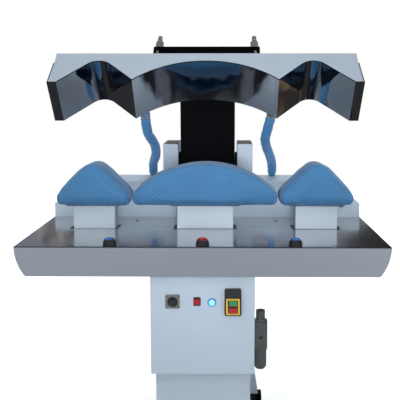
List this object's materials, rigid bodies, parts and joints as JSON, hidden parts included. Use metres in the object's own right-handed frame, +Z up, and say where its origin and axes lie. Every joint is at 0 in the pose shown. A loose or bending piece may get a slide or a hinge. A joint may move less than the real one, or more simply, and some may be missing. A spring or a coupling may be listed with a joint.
{
  "type": "collar and cuff press",
  "caption": "Laundry press that swings a polished arched head down on cloth covered collar and cuff bucks set in a steel work table.",
  "frame": {"origin": "on the floor, under the middle of the machine's width and depth", "axes": "+X to the operator's right, +Y to the back, +Z up"},
  "size_m": [1.22, 1, 1.6557],
  "materials": {
    "enamel": "smooth pale blue-grey enamel",
    "black_paint": "satin black paint",
    "stainless": "stainless steel, brushed front and polished top",
    "polished_shoe": "mirror polished",
    "pad_cloth": "plain woven cover cloth, gathered under the buck",
    "cast_aluminium": "as cast and machined",
    "steel": "zinc plated",
    "hose_sleeve": "cloth sleeve with soft creases",
    "black_plastic": "moulded",
    "blue_plastic": "moulded",
    "red_plastic": "moulded",
    "green_plastic": "moulded",
    "yellow_plastic": "moulded",
    "grey_plastic": "moulded",
    "bezel_chrome": "polished",
    "blue_lens": "lit lens",
    "smoked_bowl": "translucent moulding"
  },
  "bodies": {
    "stand": {"pedestal": "enamel", "control_cabinet": "enamel", "control_panel": "enamel", "collar_post": "enamel", "cuff_post_left": "enamel", "cuff_post_right": "enamel", "rear_housing": "enamel", "rear_upper_box": "enamel", "rear_leg_left": "enamel", "rear_leg_right": "enamel", "pivot_cheek_left": "enamel", "pivot_cheek_right": "enamel", "rear_floor_pan": "enamel", "base_frame": "black_paint", "pivot_bearing_left": "black_paint", "pivot_bearing_right": "black_paint", "cylinder_bracket": "black_paint", "table_frame": "black_paint", "table_top": "stainless", "collar_pad": "pad_cloth", "cuff_pad_left": "pad_cloth", "cuff_pad_right": "pad_cloth", "collar_buck": "cast_aluminium", "cuff_buck_left": "cast_aluminium", "cuff_buck_right": "cast_aluminium", "air_cylinder": "cast_aluminium", "regulator_body": "cast_aluminium", "levelling_feet": "steel", "rear_hose_fittings": "steel", "steam_hose": "hose_sleeve", "return_hose": "hose_sleeve", "palm_button_bases": "black_plastic", "rocker_frame": "black_plastic", "switch_box": "black_plastic", "regulator_tube": "black_plastic", "switch_cover": "yellow_plastic", "timer_body": "grey_plastic", "pilot_light": "bezel_chrome", "pilot_lens": "blue_lens", "regulator_bowl": "smoked_bowl"},
    "head": {"head_housing": "enamel", "pressing_shoe": "polished_shoe", "steam_chests": "cast_aluminium", "yoke": "black_paint", "swing_arm": "black_paint", "pivot_shaft": "steel", "levelling_studs": "steel", "drive_lever": "black_paint", "lever_pin": "steel", "head_hose_fittings": "steel"},
    "rod": {"cylinder_rod": "steel", "rod_eye": "steel"},
    "palm_left": {"palm_cap_left": "blue_plastic"},
    "palm_centre": {"palm_cap_centre": "red_plastic"},
    "palm_right": {"palm_cap_right": "blue_plastic"},
    "timer_dial": {"timer_knob": "black_plastic"},
    "rocker_key": {"rocker": "red_plastic"},
    "start_key": {"start_button": "green_plastic"},
    "stop_key": {"stop_button": "red_plastic"},
    "regulator_dial": {"regulator_knob": "black_plastic"}
  },
  "joints": [
    {"name": "head_swing", "type": "hinge", "parent": "stand", "child": "head", "pos_m": [0, 0.285, 1.137], "axis": [1, 0, 0], "range_deg": [0, 50], "deforming": ["steam_hose", "return_hose"]},
    {"name": "rod_slide", "type": "slide", "parent": "stand", "child": "rod", "axis": [0, 0, 1], "range_m": [0, 0.0973]},
    {"name": "palm_left_press", "type": "slide", "parent": "stand", "child": "palm_left", "axis": [0, 0, -1], "range_m": [0, 0.004], "stiffness_N_per_m": 500, "springref_m": -0.003},
    {"name": "palm_centre_press", "type": "slide", "parent": "stand", "child": "palm_centre", "axis": [0, 0, -1], "range_m": [0, 0.004], "stiffness_N_per_m": 500, "springref_m": -0.003},
    {"name": "palm_right_press", "type": "slide", "parent": "stand", "child": "palm_right", "axis": [0, 0, -1], "range_m": [0, 0.004], "stiffness_N_per_m": 500, "springref_m": -0.003},
    {"name": "start_press", "type": "slide", "parent": "stand", "child": "start_key", "axis": [0, 1, 0], "range_m": [0, 0.003], "stiffness_N_per_m": 500, "springref_m": -0.003},
    {"name": "stop_press", "type": "slide", "parent": "stand", "child": "stop_key", "axis": [0, 1, 0], "range_m": [0, 0.003], "stiffness_N_per_m": 500, "springref_m": -0.003},
    {"name": "rocker_tip", "type": "hinge", "parent": "stand", "child": "rocker_key", "pos_m": [-0.018, -0.472, 0.753], "axis": [-1, 0, 0], "range_deg": [0, 14]},
    {"name": "timer_turn", "type": "hinge", "parent": "stand", "child": "timer_dial", "pos_m": [-0.098, -0.481, 0.753], "axis": [0, -1, 0], "range_deg": [0, 300]},
    {"name": "regulator_turn", "type": "hinge", "parent": "stand", "child": "regulator_dial", "pos_m": [0.199, -0.3, 0.636], "axis": [0, 0, 1], "range_deg": [0, 1080]}
  ],
  "couplings": [
    {"joint": "rod_slide", "follows": "head_swing", "m_per_rad": 0.11139}
  ]
}
